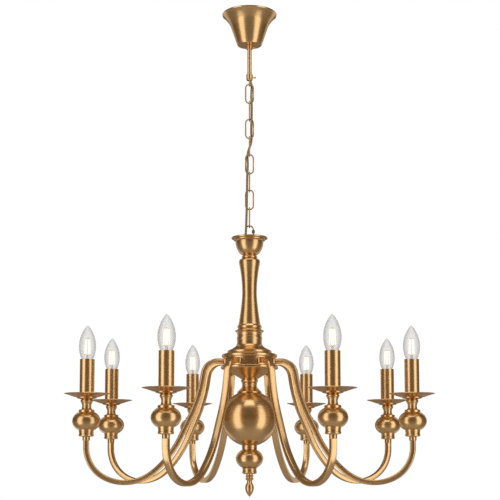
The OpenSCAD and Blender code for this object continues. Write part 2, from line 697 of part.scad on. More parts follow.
// one smooth sweep of the rounded tube along the stations
module arm_tube() {
    outline = tube_outline();
    sides = len(outline);
    last = len(arm_path) - 1;
    stations = [for (i = [0:last]) for (k = [0:steps(i) - 1]) station(i, k / steps(i))];
    rings = concat(stations, [station(last, 1)]);
    points = [for (s = rings) for (o = outline)
        [s[0] - o[1] * sin(s[2]), o[0], s[1] + o[1] * cos(s[2])]];
    walls = [for (i = [0:len(rings) - 2]) for (k = [0:sides - 1]) let (next = (k + 1) % sides)
        [i * sides + next, i * sides + k, (i + 1) * sides + k, (i + 1) * sides + next]];
    start = [[for (k = [0:sides - 1]) k]];
    end = [[for (k = [sides - 1:-1:0]) (len(rings) - 1) * sides + k]];
    polyhedron(points = points, faces = concat(walls, start, end));
}

module arm(n) {
    color(brass) translate([0, 0, hub_z]) rotate([0, 0, arm_angles[n - 1]]) {
        arm_tube();
        translate([hub_room - 8, 0, 0]) rotate([0, 90, 0]) cylinder(r = stud_r, h = hub_wall + 10);
        translate([reach, 0, path_z(len(arm_path)) - 2])
            cylinder(r = stud_r, h = ferrule_h + vase_h + stem_h + pan_t + 8);
    }
}

module arm_nuts() {
    color(steel) translate([0, 0, hub_z]) each_arm() translate([hub_room - 5.5, 0, 0])
        rotate([0, 90, 0]) hex_nut(14, 4.5, stud_r);
}

module at_candle(z) {
    each_arm() translate([reach, 0, z]) children();
}

module arm_ferrules() {
    color(brass) at_candle(ferrule_z)
        spin(concat([[stud_bore, 0], [7, 0], [7.6, 0.6], [7.6, 7.6], [8.2, 8.2], [13.6, 8.4]],
            [[15.2, 9.6], [15.6, 11], [15.2, 12.8]], flare(14.6, 13.8, 15.6, ferrule_h - 0.6, 2.4, 5),
            [[15.6, ferrule_h], [stud_bore, ferrule_h]]));
}

module ball_vases() {
    color(brass) at_candle(vase_z + vase_h / 2)
        oblate(vase_r, vase_h, vase_h / 2 + 4.5, stud_bore, 1.2);
}

module pan_stems() {
    top = stem_h;
    color(brass) at_candle(stem_z)
        spin(concat([[stud_bore, 0], [15.4, 0], [16, 0.6], [16, 4.6], [15.4, 5.4], [11.6, 6]],
            flare(10.6, 7, 9.1, 13, 0.6, 5), flare(9.2, 14, 10.8, top - 12, 1.6, 4),
            bulge(11, top - 11, top - 5, 1.8, 7), [[12.4, top - 4]],
            flare(13.6, top - 3.6, stem_disc_r, top - 1.6, 0.7, 3),
            [[stem_disc_r, top - 0.2], [stem_disc_r - 0.4, top], [stud_bore, top]]));
}

module drip_pans() {
    under = [[stem_disc_r + 1.6, 0], [stem_disc_r + 5, 0.7], [stem_disc_r + 9, 2.1], [pan_r - 9, pan_h * 0.62],
        [pan_r - 2.4, pan_h - 1.4], [pan_r - 0.4, pan_h - 0.8]];
    color(brass) at_candle(pan_z)
        spin(concat([[stud_bore, 0]], under, [[pan_r, pan_h - 0.4]], raised(under, pan_t),
            [[stud_bore, pan_t]]));
}

module candle_sleeves() {
    color(brass) at_candle(sleeve_z) difference() {
        cylinder(r = sleeve_r, h = sleeve_h);
        translate([0, 0, -1]) cylinder(r = sleeve_r - sleeve_wall, h = sleeve_h + 2);
    }
}

module lampholders() {
    h = holder_top - sleeve_z;
    color(ivory) at_candle(sleeve_z) difference() {
        cylinder(r = holder_r, h = h);
        translate([0, 0, h - cap_h - 5]) cylinder(r = cap_r + cap_gap, h = cap_h + 6);
        translate([0, 0, -1]) cylinder(r = stud_bore, h = 10);
    }
}

function bulb_low_r() = let (w = bulb_r - bulb_r * 0.65) (bulb_belly * bulb_belly + w * w) / (2 * w);
function bulb_side(z) = z < bulb_belly
    ? bulb_r - bulb_low_r() + sqrt(pow(bulb_low_r(), 2) - pow(z - bulb_belly, 2))
    : let (w = bulb_r - 1.4, h = bulb_h - 0.6 - bulb_belly, r = (h * h + w * w) / (2 * w))
        bulb_r - r + sqrt(r * r - pow(z - bulb_belly, 2));

// glass, screw cap, glass foot and four filaments
module bulb(n) {
    skin = 0.7;
    neck = -6.5;
    filament_at = 6;
    filament_l = 32;
    outer = [for (i = [0:24]) let (z = neck + (bulb_h - 0.6 - neck) * i / 24) [bulb_side(z), z]];
    inner = [for (i = [23:-1:0]) let (z = neck + (bulb_h - 0.6 - neck) * i / 24) [bulb_side(z) - skin, z]];
    rotate([0, 0, arm_angles[n - 1]]) translate([reach, 0, sleeve_top]) {
        color(clear) spin(concat(outer, [[0, bulb_h], [0, bulb_h - 2]], inner));
        color(steel) {
            translate([0, 0, neck - cap_h]) cylinder(r = cap_r, h = cap_h);
            translate([0, 0, neck - cap_h - 2.5]) cylinder(r1 = 2.4, r2 = 4, h = 2.5);
        }
        color(clear) translate([0, 0, neck - 0.5]) cylinder(r1 = 4, r2 = 1.6, h = 12);
        color(ivory) {
            translate([0, 0, 5]) cylinder(r = 1, h = 7);
            for (k = [0:3]) rotate([0, 0, 90 * k]) {
                translate([0, -0.5, 10.5]) cube([filament_at, 1, 1]);
                translate([filament_at, 0, 10]) cylinder(r = 0.8, h = filament_l);
            }
        }
    }
}

ceiling_bracket();
rod_nuts();
terminal_block();
hanger_rod();
loop_collar();
hanger_loop();
loop_screw();
canopy();
lock_collar();
lock_screw();
chain_link(1);  // chain_link_1
chain_link(2);  // chain_link_2
chain_link(3);  // chain_link_3
chain_link(4);  // chain_link_4
chain_link(5);  // chain_link_5
chain_link(6);  // chain_link_6
chain_link(7);  // chain_link_7
chain_link(8);  // chain_link_8
chain_link(9);  // chain_link_9
link_nut();
flex_cord();
cord_grip();
column_loop();
tie_pipe();
top_cup();
column_rings();
column();
column_base();
hub_body();
hub_cone();
neck_cap();
sphere();
ball_collars();
lower_ball();
finial();
tie_nuts();
wire_connector();
arm(1);  // arm_1
arm(2);  // arm_2
arm(3);  // arm_3
arm(4);  // arm_4
arm(5);  // arm_5
arm(6);  // arm_6
arm(7);  // arm_7
arm(8);  // arm_8
arm_nuts();
arm_ferrules();
ball_vases();
pan_stems();
drip_pans();
candle_sleeves();
lampholders();
bulb(1);  // bulb_1
bulb(2);  // bulb_2
bulb(3);  // bulb_3
bulb(4);  // bulb_4
bulb(5);  // bulb_5
bulb(6);  // bulb_6
bulb(7);  // bulb_7
bulb(8);  // bulb_8
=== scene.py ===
import json
import math

import bpy
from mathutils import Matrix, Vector

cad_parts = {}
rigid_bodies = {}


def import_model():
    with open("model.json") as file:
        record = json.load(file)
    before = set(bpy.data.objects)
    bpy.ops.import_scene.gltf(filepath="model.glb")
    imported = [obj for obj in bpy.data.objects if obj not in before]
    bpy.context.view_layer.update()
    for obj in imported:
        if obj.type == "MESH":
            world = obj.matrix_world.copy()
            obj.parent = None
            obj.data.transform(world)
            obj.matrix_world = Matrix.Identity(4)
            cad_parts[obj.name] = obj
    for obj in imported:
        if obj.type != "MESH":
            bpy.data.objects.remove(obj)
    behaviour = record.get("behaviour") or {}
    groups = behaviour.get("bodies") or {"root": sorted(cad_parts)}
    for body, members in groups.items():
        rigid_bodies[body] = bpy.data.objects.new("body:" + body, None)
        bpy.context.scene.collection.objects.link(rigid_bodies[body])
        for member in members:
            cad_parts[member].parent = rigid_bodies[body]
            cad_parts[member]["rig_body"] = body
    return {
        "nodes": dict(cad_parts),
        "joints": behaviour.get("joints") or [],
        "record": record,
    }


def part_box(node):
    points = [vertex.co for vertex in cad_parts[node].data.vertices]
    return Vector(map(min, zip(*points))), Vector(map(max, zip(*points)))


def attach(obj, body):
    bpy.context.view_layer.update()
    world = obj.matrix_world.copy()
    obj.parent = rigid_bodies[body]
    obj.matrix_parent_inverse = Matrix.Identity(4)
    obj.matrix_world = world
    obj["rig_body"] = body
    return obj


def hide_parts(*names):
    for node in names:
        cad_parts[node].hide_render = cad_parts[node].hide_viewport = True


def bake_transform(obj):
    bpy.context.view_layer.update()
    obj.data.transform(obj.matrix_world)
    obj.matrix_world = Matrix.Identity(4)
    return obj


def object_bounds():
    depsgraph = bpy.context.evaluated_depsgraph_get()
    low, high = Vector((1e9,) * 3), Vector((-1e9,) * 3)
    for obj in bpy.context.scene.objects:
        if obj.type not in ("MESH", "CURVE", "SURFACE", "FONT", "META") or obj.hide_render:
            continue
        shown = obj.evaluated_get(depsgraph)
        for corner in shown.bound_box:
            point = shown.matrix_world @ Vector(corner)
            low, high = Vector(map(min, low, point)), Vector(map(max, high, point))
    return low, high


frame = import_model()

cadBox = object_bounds()
nodes = frame["nodes"]
slotOf = {part["node"]: part["material_slot"] for part in frame["record"]["subparts"]}
jointAt = {joint["name"]: Vector(joint["pos_m"]) for joint in frame["joints"] if "pos_m" in joint}
mm = 0.001
armCount = 8
linkCount = 9
armDepth = 18 * mm  # the arms enter the hub this far under its top
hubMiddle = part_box("hub_body")[1].z - armDepth
candleAt = [jointAt[f"bulb_{n}_turn"] for n in range(1, armCount + 1)]
armAngles = [math.atan2(spot.y, spot.x) for spot in candleAt]
weldGap = 0.002 * mm
nearBy = 0.01 * mm
quarterTurn = math.radians(90)


# helpers that pick, open, close and hang a piece
def pickNone():
    for thing in bpy.context.selected_objects:
        thing.select_set(False)


def pick(piece):
    pickNone()
    piece.select_set(True)
    bpy.context.view_layer.objects.active = piece


def openMesh(piece, mode="VERT"):
    pick(piece)
    bpy.ops.object.mode_set(mode="EDIT")
    bpy.ops.mesh.select_mode(type=mode)


def closeMesh():
    bpy.ops.object.mode_set(mode="OBJECT")


def freeze(piece):
    pick(piece)
    bpy.ops.object.transform_apply(location=True, rotation=True, scale=True)


def pickOf(piece, kind, wanted):
    # picks those vertices or polygons of the open piece that wanted says yes to
    bpy.ops.mesh.select_all(action="DESELECT")
    bpy.ops.object.mode_set(mode="OBJECT")
    for part in getattr(piece.data, kind):
        part.select = wanted(part)
    bpy.ops.object.mode_set(mode="EDIT")


def sealMesh():
    # merges the doubles of the open piece and turns its faces outwards
    bpy.ops.mesh.select_mode(type="VERT")
    bpy.ops.mesh.select_all(action="SELECT")
    bpy.ops.mesh.remove_doubles(threshold=weldGap)
    bpy.ops.mesh.normals_make_consistent(inside=False)


def smooth(piece, degrees):
    pick(piece)
    bpy.ops.object.shade_smooth_by_angle(angle=math.radians(degrees))


def copyOf(piece, name):
    twin = bpy.data.objects.new(name, piece.data.copy())
    bpy.context.scene.collection.objects.link(twin)
    return twin


def place(piece, spot=(0, 0, 0), turn=0.0):
    piece.rotation_euler.z = turn
    piece.location = spot
    freeze(piece)
    return piece


def dress(piece, finish):
    piece.data.materials.clear()
    piece.data.materials.append(finish)


def mount(piece, body, slot, *replaced):
    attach(piece, body)
    if replaced:
        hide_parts(*replaced)


def joinAll(pieces, name):
    pickNone()
    for piece in pieces:
        piece.select_set(True)
    bpy.context.view_layer.objects.active = pieces[0]
    bpy.ops.object.join()
    pieces[0].name = name
    return pieces[0]


# helpers that lay out shader nodes
def newGroup(name, inputs, outputs):
    group = bpy.data.node_groups.new(name, "ShaderNodeTree")
    for label, kind, value in inputs:
        socket = group.interface.new_socket(name=label, in_out="INPUT", socket_type=kind)
        socket.default_value = value
    for label, kind in outputs:
        group.interface.new_socket(name=label, in_out="OUTPUT", socket_type=kind)
    return group, group.nodes.new("NodeGroupInput"), group.nodes.new("NodeGroupOutput")


def addMath(tree, operation, first, second=None, third=None):
    node = tree.nodes.new("ShaderNodeMath")
    node.operation = operation
    for index, value in enumerate((first, second, third)):
        if value is None:
            continue
        if isinstance(value, (int, float)):
            node.inputs[index].default_value = value
        else:
            tree.links.new(value, node.inputs[index])
    return node.outputs[0]


def addMix(tree, factor, first, second):
    node = tree.nodes.new("ShaderNodeMix")
    node.data_type = "RGBA"
    tree.links.new(factor, node.inputs[0])
    for index, value in ((6, first), (7, second)):
        if isinstance(value, (tuple, list)):
            node.inputs[index].default_value = value
        else:
            tree.links.new(value, node.inputs[index])
    return node.outputs[2]


def addNoise(tree, vector, scale, detail, rough=0.5):
    noise = tree.nodes.new("ShaderNodeTexNoise")
    noise.inputs["Scale"].default_value = scale
    noise.inputs["Detail"].default_value = detail
    noise.inputs["Roughness"].default_value = rough
    tree.links.new(vector, noise.inputs["Vector"])
    return noise.outputs["Fac"]


def addBump(tree, shader, height, strength, depth):
    bump = tree.nodes.new("ShaderNodeBump")
    bump.inputs["Strength"].default_value = strength
    bump.inputs["Distance"].default_value = depth
    tree.links.new(height, bump.inputs["Height"])
    tree.links.new(bump.outputs["Normal"], shader.inputs["Normal"])


def newFinish(name, **values):
    finish = bpy.data.materials.new(name)
    finish.use_nodes = True
    shader = finish.node_tree.nodes["Principled BSDF"]
    for label, value in values.items():
        shader.inputs[label.replace("_", " ")].default_value = value
    return finish, finish.node_tree, shader


def placeGroup(tree, group, **values):
    node = tree.nodes.new("ShaderNodeGroup")
    node.node_tree = group
    for label, value in values.items():
        node.inputs[label.replace("_", " ")].default_value = value
    return node


# level with the lower ball, looking slightly up
cameraSet = {"lens": 91.4, "sensor": 36, "distance": 2.7, "belowHub": 0.2165, "tiltUp": 6.67,
             "shiftUp": 0.1312, "shiftAcross": 0.001}


def makeCamera():
    spot = (0, -cameraSet["distance"], hubMiddle - cameraSet["belowHub"])
    bpy.ops.object.camera_add(location=spot, rotation=(math.radians(90 + cameraSet["tiltUp"]), 0, 0))
    camera = bpy.context.object
    camera.data.lens = cameraSet["lens"]
    camera.data.sensor_width = cameraSet["sensor"]
    camera.data.shift_x = cameraSet["shiftAcross"]
    camera.data.shift_y = cameraSet["shiftUp"]
    bpy.context.scene.camera = camera


# pale floor, tall soft boxes all round and one overhead
studio = {
    "floorBelow": 1.9, "floorSize": 40.0, "floorColor": (0.5, 0.48, 0.46, 1), "floorRough": 0.85,
    "floorShine": 0.1, "floorGlow": 0.14, "glowColor": (1, 0.98, 0.95, 1),
    "panels": {
        "frontLeft": {"azimuth": -52, "width": 1.45, "height": 4.4, "radiance": 1.22},
        "frontRight": {"azimuth": 52, "width": 1.45, "height": 4.4, "radiance": 1.22},
        "rearLeft": {"azimuth": -142, "width": 0.8, "height": 4.4, "radiance": 0.5},
        "rearRight": {"azimuth": 142, "width": 0.8, "height": 4.4, "radiance": 0.5},
    },
    "panelDistance": 2.3, "topRadiance": 1.6, "topSize": 1.5, "topHeight": 1.1, "topForward": 0.6,
    "roomColor": (0.15, 0.11, 0.074, 1), "backdrop": (1.0, 1.0, 1.0, 1),
}


def makeStudio():
    floorZ = cadBox[0].z - studio["floorBelow"]
    bpy.ops.mesh.primitive_plane_add(size=studio["floorSize"], location=(0, 0, floorZ))
    floor = bpy.context.object
    floor.name = "studioFloor"
    dress(floor, makePaper())
    middle = Vector((0, 0, (cadBox[0].z + cadBox[1].z) / 2))
    for name, panel in studio["panels"].items():
        around = math.radians(panel["azimuth"])
        spot = Vector((math.sin(around), -math.cos(around), 0)) * studio["panelDistance"] + middle
        addPanel(name, spot, middle, panel["width"], panel["height"], panel["radiance"])
    above = Vector((0, -studio["topForward"], cadBox[1].z + studio["topHeight"]))
    addPanel("overhead", above, middle, studio["topSize"], studio["topSize"], studio["topRadiance"])


def makePaper():
    # paper that the camera sees as white and the brass sees as pale grey
    paper, tree, shader = newFinish("palePaper")
    shader.inputs["Base Color"].default_value = studio["floorColor"]
    shader.inputs["Roughness"].default_value = studio["floorRough"]
    shader.inputs["Specular IOR Level"].default_value = studio["floorShine"]
    shader.inputs["Emission Color"].default_value = studio["glowColor"]
    path = tree.nodes.new("ShaderNodeLightPath")
    glow = addMath(tree, "MULTIPLY_ADD", path.outputs["Is Camera Ray"], 1.0, studio["floorGlow"])
    tree.links.new(glow, shader.inputs["Emission Strength"])
    return paper


def addPanel(name, spot, target, width, height, radiance):
    bpy.ops.object.light_add(type="AREA", location=spot)
    panel = bpy.context.object
    panel.name = name
    panel.data.shape = "RECTANGLE"
    panel.data.size = width
    panel.data.size_y = height
    panel.data.energy = radiance * math.pi * width * height
    panel.visible_camera = False
    panel.rotation_euler = (target - spot).to_track_quat("-Z", "Y").to_euler()


def makeRoom():
    # the camera and what is seen through glass meet a white backdrop, reflections meet a grey room
    world = bpy.data.worlds.new("studioRoom")
    bpy.context.scene.world = world
    world.use_nodes = True
    tree = world.node_tree
    tree.nodes.clear()
    out = tree.nodes.new("ShaderNodeOutputWorld")
    mix = tree.nodes.new("ShaderNodeMixShader")
    room = tree.nodes.new("ShaderNodeBackground")
    backdrop = tree.nodes.new("ShaderNodeBackground")
    path = tree.nodes.new("ShaderNodeLightPath")
    seen = addMath(tree, "MAXIMUM", path.outputs["Is Camera Ray"], path.outputs["Is Transmission Ray"])
    room.inputs["Color"].default_value = studio["roomColor"]
    backdrop.inputs["Color"].default_value = studio["backdrop"]
    tree.links.new(seen, mix.inputs[0])
    tree.links.new(room.outputs[0], mix.inputs[1])
    tree.links.new(backdrop.outputs[0], mix.inputs[2])
    tree.links.new(mix.outputs[0], out.inputs["Surface"])
    bpy.context.scene.view_settings.view_transform = "Standard"


makeCamera()
makeStudio()
makeRoom()
print("camera and studio stand")


def makeTurnedGrain():
    # fine rings left by the lathe's brush: Rings sets how close they lie, Length how short they are
    group, inside, out = newGroup("turnedGrain",
        [("Rings", "NodeSocketFloat", 900.0), ("Length", "NodeSocketFloat", 9.0)],
        [("Grain", "NodeSocketFloat")])
    coord = group.nodes.new("ShaderNodeTexCoord")
    stretch = group.nodes.new("ShaderNodeCombineXYZ")
    group.links.new(inside.outputs["Length"], stretch.inputs[0])
    group.links.new(inside.outputs["Length"], stretch.inputs[1])
    group.links.new(inside.outputs["Rings"], stretch.inputs[2])
    scaled = group.nodes.new("ShaderNodeVectorMath")
    scaled.operation = "MULTIPLY"
    group.links.new(coord.outputs["Object"], scaled.inputs[0])
    group.links.new(stretch.outputs[0], scaled.inputs[1])
    group.links.new(addNoise(group, scaled.outputs[0], 1.0, 3.0, 0.6), out.inputs["Grain"])
    return group


# lacquer ageing, and the painted shade that darkens the brass's grooves
lacquer = {"patchScale": 22.0, "patchDetail": 4.0, "flat": 0.46, "sharp": 0.56, "grooveShadeAndLacquerFrom": 0.62,
           "grooveShadeAndLacquerShare": 0.5}


def makeLacquerAgeAndShade():
    # lacquered brass darkens in patches, and its grooves are darkened with painted shade along with darker
    # lacquer; it stays brighter on its edges
    group, inside, out = newGroup("lacquerAge",
        [("Clean", "NodeSocketColor", (0.8, 0.5, 0.25, 1)),
         ("Aged", "NodeSocketColor", (0.6, 0.35, 0.15, 1)),
         ("Grain", "NodeSocketFloat", 0.5), ("Grain Share", "NodeSocketFloat", 0.3),
         ("Patch Share", "NodeSocketFloat", 0.3)],
        [("Color", "NodeSocketColor"), ("Patch", "NodeSocketFloat")])
    coord = group.nodes.new("ShaderNodeTexCoord")
    patch = addNoise(group, coord.outputs["Object"], lacquer["patchScale"], lacquer["patchDetail"])
    geometry = group.nodes.new("ShaderNodeNewGeometry")
    edge = group.nodes.new("ShaderNodeMapRange")
    edge.inputs["From Min"].default_value = lacquer["flat"]
    edge.inputs["From Max"].default_value = lacquer["sharp"]
    group.links.new(geometry.outputs["Pointiness"], edge.inputs["Value"])
    # painted shade: low pointiness darkens the grooves toward the aged colour, with darker lacquer there too
    grooveShadeAndLacquer = addMath(group, "SUBTRACT", lacquer["grooveShadeAndLacquerFrom"], edge.outputs[0])
    dark = addMath(group, "MULTIPLY", inside.outputs["Grain"], inside.outputs["Grain Share"])
    dark = addMath(group, "MULTIPLY_ADD", patch, inside.outputs["Patch Share"], dark)
    dark = addMath(group, "MULTIPLY_ADD", grooveShadeAndLacquer, lacquer["grooveShadeAndLacquerShare"], dark)
    clamp = group.nodes.new("ShaderNodeClamp")
    group.links.new(dark, clamp.inputs[0])
    color = addMix(group, clamp.outputs[0], inside.outputs["Clean"], inside.outputs["Aged"])
    group.links.new(color, out.inputs["Color"])
    group.links.new(patch, out.inputs["Patch"])
    return group


turnedGrain = makeTurnedGrain()
lacquerAge = makeLacquerAgeAndShade()
metalSkin = {"grainShare": 0.3, "patchRough": 0.5, "bumpDepth": 0.2 * mm}
metalLooks = {
    "satinBrass": {"clean": (0.86, 0.575, 0.28, 1), "aged": (0.62, 0.36, 0.14, 1), "rings": 420.0,
                   "length": 9.0, "rough": 0.19, "roughSpread": 0.1, "bump": 0.006, "patch": 0.2},
    "drawnBrass": {"clean": (0.86, 0.575, 0.28, 1), "aged": (0.66, 0.39, 0.16, 1), "rings": 260.0,
                   "length": 260.0, "rough": 0.22, "roughSpread": 0.03, "bump": 0.001, "patch": 0.2},
    "chainBrass": {"clean": (0.72, 0.47, 0.22, 1), "aged": (0.48, 0.28, 0.11, 1), "rings": 500.0,
                   "length": 500.0, "rough": 0.2, "roughSpread": 0.14, "bump": 0.02, "patch": 0.4},
    "brightBrass": {"clean": (0.92, 0.74, 0.34, 1), "aged": (0.75, 0.52, 0.18, 1), "rings": 700.0,
                    "length": 60.0, "rough": 0.14, "roughSpread": 0.1, "bump": 0.02, "patch": 0.3},
    "zincSteel": {"clean": (0.62, 0.61, 0.59, 1), "aged": (0.42, 0.41, 0.39, 1), "rings": 180.0,
                  "length": 180.0, "rough": 0.32, "roughSpread": 0.2, "bump": 0.05, "patch": 0.6},
    "capNickel": {"clean": (0.78, 0.76, 0.72, 1), "aged": (0.6, 0.57, 0.52, 1), "rings": 600.0,
                  "length": 60.0, "rough": 0.2, "roughSpread": 0.15, "bump": 0.03, "patch": 0.3},
}


def makeMetal(name):
    look = metalLooks[name]
    finish, tree, shader = newFinish(name, Metallic=1.0)
    grain = placeGroup(tree, turnedGrain, Rings=look["rings"], Length=look["length"])
    ageAndShade = placeGroup(tree, lacquerAge, Clean=look["clean"], Aged=look["aged"],
                     Grain_Share=metalSkin["grainShare"], Patch_Share=look["patch"])
    tree.links.new(grain.outputs["Grain"], ageAndShade.inputs["Grain"])
    tree.links.new(ageAndShade.outputs["Color"], shader.inputs["Base Color"])
    rough = addMath(tree, "MULTIPLY_ADD", grain.outputs["Grain"], look["roughSpread"], look["rough"])
    spread = look["roughSpread"] * metalSkin["patchRough"]
    rough = addMath(tree, "MULTIPLY_ADD", ageAndShade.outputs["Patch"], spread, rough)
    tree.links.new(rough, shader.inputs["Roughness"])
    addBump(tree, shader, grain.outputs["Grain"], look["bump"], metalSkin["bumpDepth"])
    return finish


porcelainLook = {"pale": (0.88, 0.85, 0.78, 1), "grey": (0.8, 0.76, 0.68, 1), "rough": 0.45,
                 "speckScale": 240.0, "speckDetail": 3.0}


def makePorcelain():
    look = porcelainLook
    finish, tree, shader = newFinish("porcelain", Roughness=look["rough"])
    coord = tree.nodes.new("ShaderNodeTexCoord")
    speck = addNoise(tree, coord.outputs["Object"], look["speckScale"], look["speckDetail"])
    color = addMix(tree, speck, look["pale"], look["grey"])
    tree.links.new(color, shader.inputs["Base Color"])
    return finish


sheathLook = {"light": (0.42, 0.32, 0.13, 1), "dark": (0.2, 0.14, 0.05, 1), "turnsPerMetre": 70.0,
              "cores": 2, "rough": 0.32, "coat": 0.5, "coatRough": 0.15, "bump": 0.25, "bumpDepth": 0.3 * mm}


def makeCordSheath():
    # gold-brown cores twisted under a clear skin
    look = sheathLook
    finish, tree, shader = newFinish("cordSheath", Roughness=look["rough"], Coat_Weight=look["coat"],
                                     Coat_Roughness=look["coatRough"])
    uv = tree.nodes.new("ShaderNodeUVMap")
    uv.uv_map = "alongCord"
    split = tree.nodes.new("ShaderNodeSeparateXYZ")
    tree.links.new(uv.outputs[0], split.inputs[0])
    turn = addMath(tree, "MULTIPLY_ADD", split.outputs["X"], look["turnsPerMetre"], split.outputs["Y"])
    wave = addMath(tree, "SINE", addMath(tree, "MULTIPLY", turn, look["cores"] * math.tau))
    share = addMath(tree, "MULTIPLY_ADD", wave, 0.5, 0.5)
    color = addMix(tree, share, look["dark"], look["light"])
    tree.links.new(color, shader.inputs["Base Color"])
    addBump(tree, shader, share, look["bump"], look["bumpDepth"])
    return finish


ripples = {"scale": 60.0, "detail": 2.0, "tintShare": 0.05, "roughShare": 0.06}
# the edge colours are painted shade, greying the glass where it is seen edge-on
glassLooks = {
    "bulbGlass": {"tint": (0.62, 0.62, 0.6, 1), "edge": (0.42, 0.42, 0.4, 1), "edgeShadeBlend": 0.4,
                  "ior": 1.45, "rough": 0.04, "veil": 0.06, "edgeShadeVeil": 0.34},
    "stemGlass": {"tint": (0.85, 0.78, 0.66, 1), "edge": (0.6, 0.5, 0.38, 1), "edgeShadeBlend": 0.5,
                  "ior": 1.45, "rough": 0.1, "veil": 0.25, "edgeShadeVeil": 0.5},
}


def makeGlass(name):
    # thin clear glass, greyer and less clear where it is seen edge-on; this edge greyness is painted shade
    # standing in for reflection
    look = glassLooks[name]
    finish, tree, shader = newFinish(name, IOR=look["ior"])
    coord = tree.nodes.new("ShaderNodeTexCoord")
    ripple = addNoise(tree, coord.outputs["Object"], ripples["scale"], ripples["detail"])
    facing = tree.nodes.new("ShaderNodeLayerWeight")
    facing.inputs["Blend"].default_value = look["edgeShadeBlend"]
    # painted shade: the facing mask greys the glass toward its edges
    share = addMath(tree, "MULTIPLY_ADD", ripple, ripples["tintShare"], facing.outputs["Facing"])
    color = addMix(tree, share, look["tint"], look["edge"])
    tree.links.new(color, shader.inputs["Base Color"])
    rough = addMath(tree, "MULTIPLY_ADD", ripple, ripples["roughShare"], look["rough"])
    tree.links.new(rough, shader.inputs["Roughness"])
    veil = addMath(tree, "MULTIPLY_ADD", share, look["edgeShadeVeil"], look["veil"])
    tree.links.new(addMath(tree, "MINIMUM", veil, 1.0), shader.inputs["Alpha"])
    return finish


glowSpeck = {"scale": 900.0, "detail": 2.0, "share": 0.2, "rimBlend": 0.5, "rough": 0.5}
glowLooks = {
    "filamentGlow": {"core": (1.0, 0.98, 0.86, 1), "rim": (1.0, 0.66, 0.16, 1), "strength": 1.3},
    "filamentEnd": {"core": (1.0, 0.6, 0.16, 1), "rim": (0.75, 0.3, 0.03, 1), "strength": 0.7},
}


def makeGlow(name):
    # a lit rod: pale in its middle, yellow along its outline
    look = glowLooks[name]
    finish, tree, shader = newFinish(name, Roughness=glowSpeck["rough"], Emission_Strength=look["strength"])
    coord = tree.nodes.new("ShaderNodeTexCoord")
    speck = addNoise(tree, coord.outputs["Object"], glowSpeck["scale"], glowSpeck["detail"])
    facing = tree.nodes.new("ShaderNodeLayerWeight")
    facing.inputs["Blend"].default_value = glowSpeck["rimBlend"]
    share = addMath(tree, "MULTIPLY_ADD", speck, glowSpeck["share"], facing.outputs["Facing"])
    glow = addMix(tree, share, look["core"], look["rim"])
    tree.links.new(glow, shader.inputs["Emission Color"])
    tree.links.new(glow, shader.inputs["Base Color"])
    return finish


satinBrass = makeMetal("satinBrass")
drawnBrass = makeMetal("drawnBrass")
chainBrass = makeMetal("chainBrass")
brightBrass = makeMetal("brightBrass")
zincSteel = makeMetal("zincSteel")
capNickel = makeMetal("capNickel")
porcelain = makePorcelain()
cordSheath = makeCordSheath()
bulbGlass = makeGlass("bulbGlass")
stemGlass = makeGlass("stemGlass")
filamentGlow = makeGlow("filamentGlow")
filamentEnd = makeGlow("filamentEnd")
finishOf = {"satin_brass": satinBrass, "bright_brass": brightBrass, "steel": zincSteel,
            "porcelain": porcelain, "cord": cordSheath, "bulb_glass": bulbGlass}
print("finishes are mixed")

# turned and pressed pieces keep the frame's own shapes, welded and smoothed up to these angles
turnedPieces = {
    "canopy": 24, "lock_collar": 30, "loop_collar": 30, "hanger_rod": 30, "hanger_loop": 40,
    "cord_grip": 30, "column_loop": 40, "top_cup": 24, "column_rings": 28, "column": 24,
    "column_base": 24, "hub_body": 26, "hub_cone": 24, "neck_cap": 28, "sphere": 24,
    "ball_collars": 26, "lower_ball": 24, "finial": 30, "arm_ferrules": 28, "ball_vases": 24,
    "pan_stems": 28, "drip_pans": 24, "candle_sleeves": 30, "lampholders": 30, "link_nut": 25,
    "ceiling_bracket": 25, "rod_nuts": 25, "terminal_block": 25, "tie_pipe": 30, "tie_nuts": 25,
    "wire_connector": 25, "arm_nuts": 25,
}


def weldNode(name, degrees):
    piece = copyOf(nodes[name], name.replace("_", "") + "Skin")
    openMesh(piece)
    bpy.ops.mesh.customdata_custom_splitnormals_clear()
    bpy.ops.mesh.select_all(action="SELECT")
    bpy.ops.mesh.remove_doubles(threshold=weldGap)
    closeMesh()
    dress(piece, finishOf[slotOf[name]])
    smooth(piece, degrees)
    mount(piece, nodes[name]["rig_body"], slotOf[name], name)


for nodeName, sharpAngle in turnedPieces.items():
    weldNode(nodeName, sharpAngle)
print("turned pieces are welded and smoothed:", len(turnedPieces))


def sweepAlong(legs, spot, heading):
    # draws the picked ring along legs of (run, bend radius, turn in degrees, steps) in the XZ plane
    x, z = spot
    for run, radius, turn, steps in legs:
        if run:
            shift = (run * math.cos(heading), 0, run * math.sin(heading))
            bpy.ops.mesh.extrude_region_move(TRANSFORM_OT_translate={"value": shift})
            x, z = x + shift[0], z + shift[2]
            continue
        side = math.copysign(1, turn)
        centreX = x - side * radius * math.sin(heading)
        centreZ = z + side * radius * math.cos(heading)
        bpy.ops.mesh.spin(steps=steps, angle=math.radians(turn), center=(centreX, 0, centreZ),
                          axis=(0, 1, 0))
        heading += math.radians(turn)
        x = centreX + side * radius * math.sin(heading)
        z = centreZ - side * radius * math.cos(heading)
    return x, z


def growRing(factor, centre):
    bpy.ops.transform.resize(value=(factor, factor, factor), center_override=centre)


# root sizes come first, then the legs from the hub to the ferrule, in mm
armTube = {
    "hubRadius": 54 * mm, "width": 12.8 * mm, "thick": 10.6 * mm, "corner": 1.6 * mm,
    "cornerSteps": 3, "softAngle": 30, "rootGrow": 1.14, "rootRing": 2.6 * mm, "rootTaper": 1.2 * mm,
    "legs": [(12.2, 0, 0, 0), (0, 32, -80, 22), (14, 0, 0, 0), (0, 280, 16, 12), (51, 0, 0, 0),
             (0, 215, 24, 14), (0, 100, 40, 16), (0, 90, 30, 12), (0, 70, 60, 20), (12, 0, 0, 0)],
}


